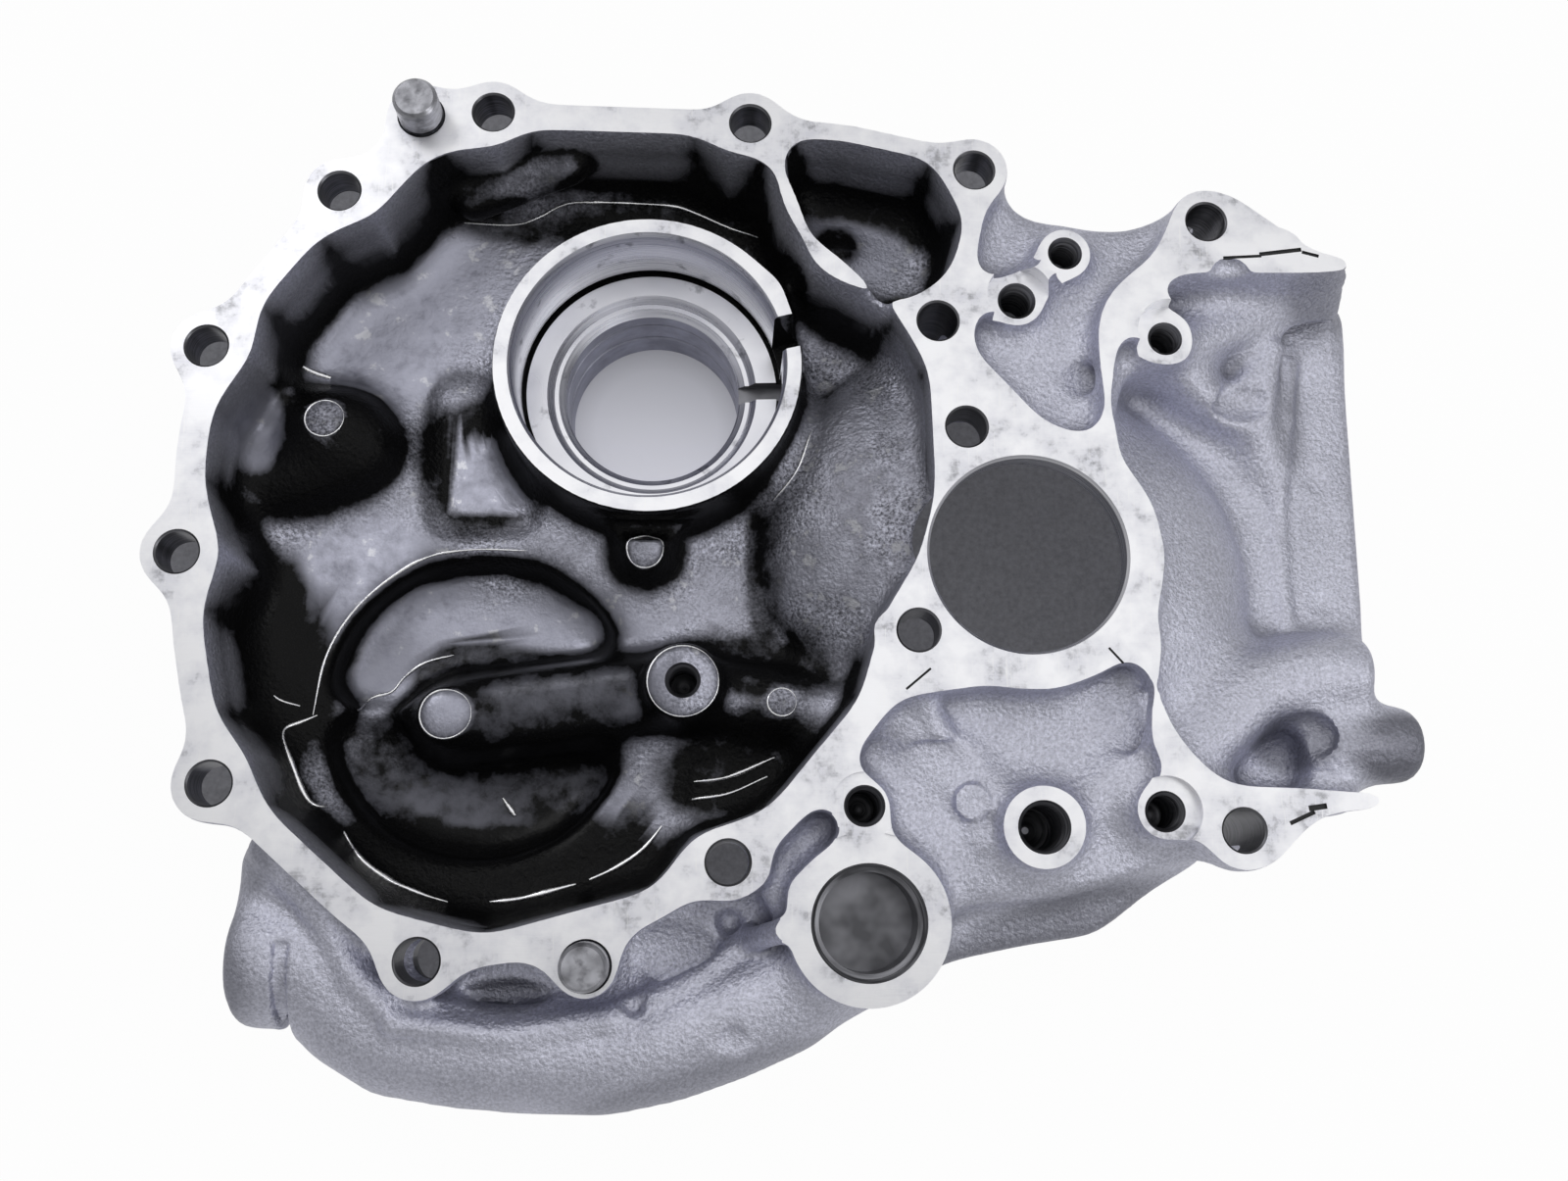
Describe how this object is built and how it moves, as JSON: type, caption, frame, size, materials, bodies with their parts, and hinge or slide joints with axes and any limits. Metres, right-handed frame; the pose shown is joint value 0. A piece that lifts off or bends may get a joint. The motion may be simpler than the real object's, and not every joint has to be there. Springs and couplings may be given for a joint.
{
  "type": "pinion retainer housing",
  "caption": "Die-cast gearbox cover half with a scalloped joint face, a pinion bearing ring, a shaft bore, an oil well and a hollow oil duct.",
  "frame": {"origin": "centre of the shaft clearance bore on the machined joint face", "axes": "+Z out of the joint face along the shaft bore, +X towards the open side bay, +Y towards the upper dowel"},
  "size_m": [0.2842, 0.2322, 0.064],
  "materials": {
    "cast_aluminium": "cast skin with machined faces and oil-darkened cavity",
    "dowel_steel": "ground steel"
  },
  "bodies": {
    "root": {"housing": "cast_aluminium", "upper_dowel_pin": "dowel_steel", "lower_dowel_pin": "dowel_steel"}
  },
  "joints": []
}
